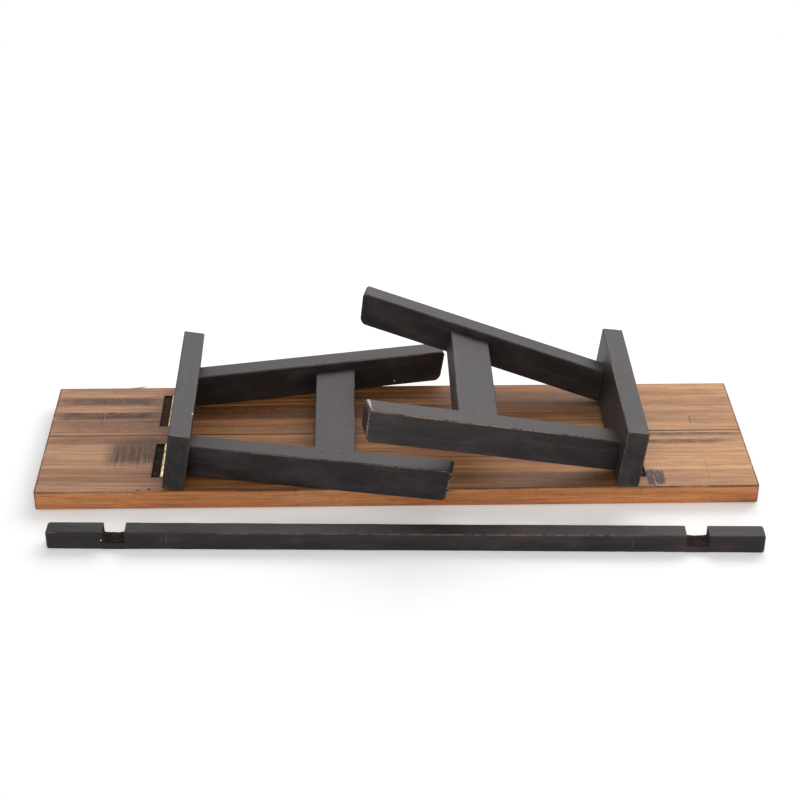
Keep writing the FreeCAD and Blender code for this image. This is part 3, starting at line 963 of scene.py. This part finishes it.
def bar_stations():
    """(x, top height, corner radius, inset, roughness) along the bar, closer in the notches."""
    half = bar_length / 2
    corner = 0.0013
    spacing = 0.006
    notch_spacing = 0.0011
    # from outside a notch down its wall: (offset, top height, corner radius, roughness)
    wall = [
        (-0.0012, bar_height, 0.0012, 0),
        (0, bar_height, 0.0006, 0.3),
        (0.0003, bar_height - 0.0010, 0.0005, 0.6),
        (0.0006, notch_floor + 0.0004, 0.0004, 0.6),
    ]
    stations = [(-half, bar_height, 0.0009, 0.0022, 0), (-half + 0.0008, bar_height, 0.0011, 0.0009, 0)]
    stations.append((-half + 0.0026, bar_height, corner, 0, 0))
    for i in range(prick_count):
        for offset in (-0.0011, -0.0004, 0, 0.0004, 0.0011):
            stations.append((prick_start + prick_pitch * i + offset, bar_height, corner, 0, 0))
    x = prick_start + prick_pitch * prick_count
    while x < half - 0.004:
        side = -1 if x < 0 else 1
        start = side * notch_middle - notch_half
        if start - spacing < x < start:
            for offset, top, radius, rough in wall:
                stations.append((start + offset, top, radius, 0, rough))
            x = start + 0.0014
            while x < start + 2 * notch_half - 0.0010:
                dip = 0.001 * (1 - abs(x - start - notch_half) / notch_half)
                stations.append((x, notch_floor - dip, 0.0004, 0, 1))
                x += notch_spacing
            for offset, top, radius, rough in reversed(wall):
                stations.append((start + 2 * notch_half - offset, top, radius, 0, rough))
            x = start + 2 * notch_half + spacing
        else:
            stations.append((x, bar_height, corner, 0, 0))
            x += spacing
    stations.append((half - 0.0026, bar_height, corner, 0, 0))
    stations += [(half - 0.0008, bar_height, 0.0011, 0.0009, 0), (half, bar_height, 0.0009, 0.0022, 0)]
    return stations


def rough_bar():
    """The bar as one skin: worn long edges, a row of awl pricks, and notches as the chisel left them."""
    chance = random.Random(12)
    form = bmesh.new()
    loops = []
    worn = 0.0
    for x, top, corner, inset, rough in bar_stations():
        worn = worn * 0.8 + chance.uniform(-chisel_jitter, chisel_jitter)
        radius = max(0.0003, corner + (worn if corner > 0.001 else 0))
        loop = []
        for y, z in bar_profile(top, radius, inset):
            shift = Vector((0, 0, 0))
            upper = z > top - radius * 1.2
            pricked = min(abs(x - prick_start - prick_pitch * i) for i in range(prick_count)) < 0.0005
            if pricked and abs(y - prick_y) < prick_half and z > bar_height - 0.0001:
                shift.z = -prick_depth
            if rough and upper and inset == 0:
                shift.x = chance.uniform(-chisel_jitter, chisel_jitter) * rough
                if top < bar_height * 0.6:
                    shift.z = chance.uniform(-0.0007, 0.0005) * rough
                else:
                    shift.z = chance.uniform(-0.0004, 0) * rough
            loop.append(form.verts.new(bar_point(x + shift.x, y, z + shift.z)))
        loops.append(loop)
    count = len(loops[0])
    for low, high in zip(loops, loops[1:]):
        for i in range(count):
            j = (i + 1) % count
            form.faces.new((low[i], low[j], high[j], high[i]))
    form.faces.new(list(reversed(loops[0])))
    form.faces.new(loops[-1])
    bmesh.ops.recalc_face_normals(form, faces=form.faces[:])
    mesh = bpy.data.meshes.new("rough_bar")
    form.to_mesh(mesh)
    form.free()
    smooth_by_angle(mesh, 32)
    chips = [
        (bar_point(notch_middle - notch_half + 0.001, 0.0005, 0.0115), 0.0012),
        (bar_point(-notch_middle - notch_half - 0.0005, 0.0005, 0.013), 0.0015),
    ]
    marks = [
        (bar_point(-0.12, 0, bar_height), 0.13, 0.3),
        (bar_point(0.12, 0, 0), 0.20, 0.4),
        (bar_point(-0.43, 0, 0.012), 0.02, 0.4),
    ]
    stain = stain_paint(
        "bar_stain",
        bar_slabs(),
        [bar_rotation @ EAST, bar_rotation @ NORTH, UP],
        83.0,
        wear=0.3,
        marks=marks,
        chips=chips,
        cuts=bar_marks,
        gloss=0.32,
    )
    piece("rough_locking_bar", mesh, stain, "locking_bar", ["locking_bar"])


def splinter():
    """Sliver that has lifted from the rear plank's edge."""
    points = [
        (-0.3640, 0.1236, 0.0256), (-0.3640, 0.1226, 0.0272), (-0.3640, 0.1241, 0.0268),
        (-0.3480, 0.1244, 0.0262), (-0.3480, 0.1238, 0.0275), (-0.3480, 0.1256, 0.0271),
        (-0.3380, 0.1262, 0.0268), (-0.3380, 0.1258, 0.0276), (-0.3380, 0.1271, 0.0274),
        (-0.3330, 0.1290, 0.0276),
    ]
    faces = [(0, 2, 1), (0, 1, 4, 3), (1, 2, 5, 4), (2, 0, 3, 5)]
    faces += [(3, 4, 7, 6), (4, 5, 8, 7), (5, 3, 6, 8)]
    faces += [(6, 7, 9), (7, 8, 9), (8, 6, 9)]
    mesh = bpy.data.meshes.new("splinter")
    mesh.from_pydata([Vector(p) for p in points], [], faces)
    sliver_wood = wood_paint("splinter_wood", "5b3d2a", "9a7150", 9.0)
    piece("edge_splinter", mesh, sliver_wood, "seat")


screw_metal = brass_paint("screw_brass_finish", 3.0, dull=0.94)
screws()
knuckles()
round_pegs()
rough_bar()
splinter()


# Floor, world, lamps and camera

def floor():
    """A plain white floor that keeps the shadow near the bench and fades to white further off."""
    mesh = bpy.data.meshes.new("floor")
    size = 4.0
    corners = [(-size, -size, 0), (size, -size, 0), (size, size, 0), (-size, size, 0)]
    mesh.from_pydata([Vector(c) - UP * 0.0002 for c in corners], [], [(0, 1, 2, 3)])
    sheet = set_out("floor", mesh)
    paint = Paint("floor_white")
    matte = paint.node("ShaderNodeBsdfDiffuse")
    matte.inputs["Color"].default_value = (0.84, 0.84, 0.84, 1)
    glow = paint.node("ShaderNodeEmission")
    rays = paint.node("ShaderNodeLightPath").outputs
    seen = paint.math("MAXIMUM", rays["Is Camera Ray"], rays["Is Glossy Ray"])
    seen = paint.math("MAXIMUM", seen, rays["Is Transmission Ray"])
    paint.feed(glow.inputs["Strength"], paint.times(seen, 0.27))
    both = paint.node("ShaderNodeAddShader")
    paint.feed(both.inputs[0], matte.outputs[0])
    paint.feed(both.inputs[1], glow.outputs[0])
    white = paint.node("ShaderNodeEmission")
    shadow_reach = 0.7
    white_from = 1.7
    faded = paint.step(paint.distance((0, 0, 0)), shadow_reach, white_from)
    fading = paint.node("ShaderNodeMixShader")
    paint.feed(fading.inputs[0], paint.times(seen, faded))
    paint.feed(fading.inputs[1], both.outputs[0])
    paint.feed(fading.inputs[2], white.outputs[0])
    output = paint.node("ShaderNodeOutputMaterial")
    paint.feed(output.inputs[0], fading.outputs[0])
    mesh.materials.append(paint.material)


def world():
    """Even white surroundings, seen as pure white by the camera."""
    sky = bpy.data.worlds.new("studio")
    bpy.context.scene.world = sky
    sky.use_nodes = True
    tree = sky.node_tree
    tree.nodes.clear()
    light = tree.nodes.new("ShaderNodeBackground")
    light.inputs["Color"].default_value = (1, 1, 1, 1)
    light.inputs["Strength"].default_value = 0.45
    white = tree.nodes.new("ShaderNodeBackground")
    white.inputs["Color"].default_value = (1, 1, 1, 1)
    white.inputs["Strength"].default_value = 1
    rays = tree.nodes.new("ShaderNodeLightPath")
    choice = tree.nodes.new("ShaderNodeMixShader")
    output = tree.nodes.new("ShaderNodeOutputWorld")
    seen = rays.outputs["Is Camera Ray"]
    for kind in ("Is Glossy Ray", "Is Transmission Ray"):
        either = tree.nodes.new("ShaderNodeMath")
        either.operation = "MAXIMUM"
        tree.links.new(seen, either.inputs[0])
        tree.links.new(rays.outputs[kind], either.inputs[1])
        seen = either.outputs[0]
    tree.links.new(seen, choice.inputs[0])
    tree.links.new(light.outputs[0], choice.inputs[1])
    tree.links.new(white.outputs[0], choice.inputs[2])
    tree.links.new(choice.outputs[0], output.inputs[0])


def lamp(name, place, width, depth, power):
    """A soft rectangular lamp aimed at the middle of the floor."""
    data = bpy.data.lights.new(name, "AREA")
    data.shape = "RECTANGLE"
    data.size = width
    data.size_y = depth
    data.energy = power
    thing = set_out(name, data)
    thing.location = place
    thing.rotation_mode = "QUATERNION"
    thing.rotation_quaternion = (-Vector(place)).to_track_quat("-Z", "Y")


def camera():
    """The photograph's view of the bench."""
    tilt = math.radians(31.55)
    yaw = math.radians(1.54)
    roll = math.radians(0.29)
    focal_pixels = 1780
    photo_pixels = 800
    sensor = 36
    forward = Vector((math.sin(yaw) * math.cos(tilt), math.cos(yaw) * math.cos(tilt), -math.sin(tilt)))
    right = forward.cross(UP).normalized()
    up = right.cross(forward)
    level_right = right * math.cos(roll) + up * math.sin(roll)
    level_up = up * math.cos(roll) - right * math.sin(roll)
    data = bpy.data.cameras.new("camera")
    data.sensor_width = sensor
    data.lens = sensor * focal_pixels / photo_pixels
    data.clip_end = 50
    thing = set_out("camera", data)
    turn = Matrix((level_right, level_up, -forward)).transposed()
    thing.rotation_mode = "QUATERNION"
    thing.rotation_quaternion = turn.to_quaternion()
    thing.location = (-0.0471, -1.9425, 1.2743)
    bpy.context.scene.camera = thing


floor()
world()
lamp("overhead", place=(0.75, 1.5, 1.7), width=2.8, depth=1.6, power=47)
lamp("front_fill", place=(0.1, -2.6, 1.3), width=2.6, depth=1.2, power=22)
camera()
bpy.context.scene.view_settings.view_transform = "Standard"
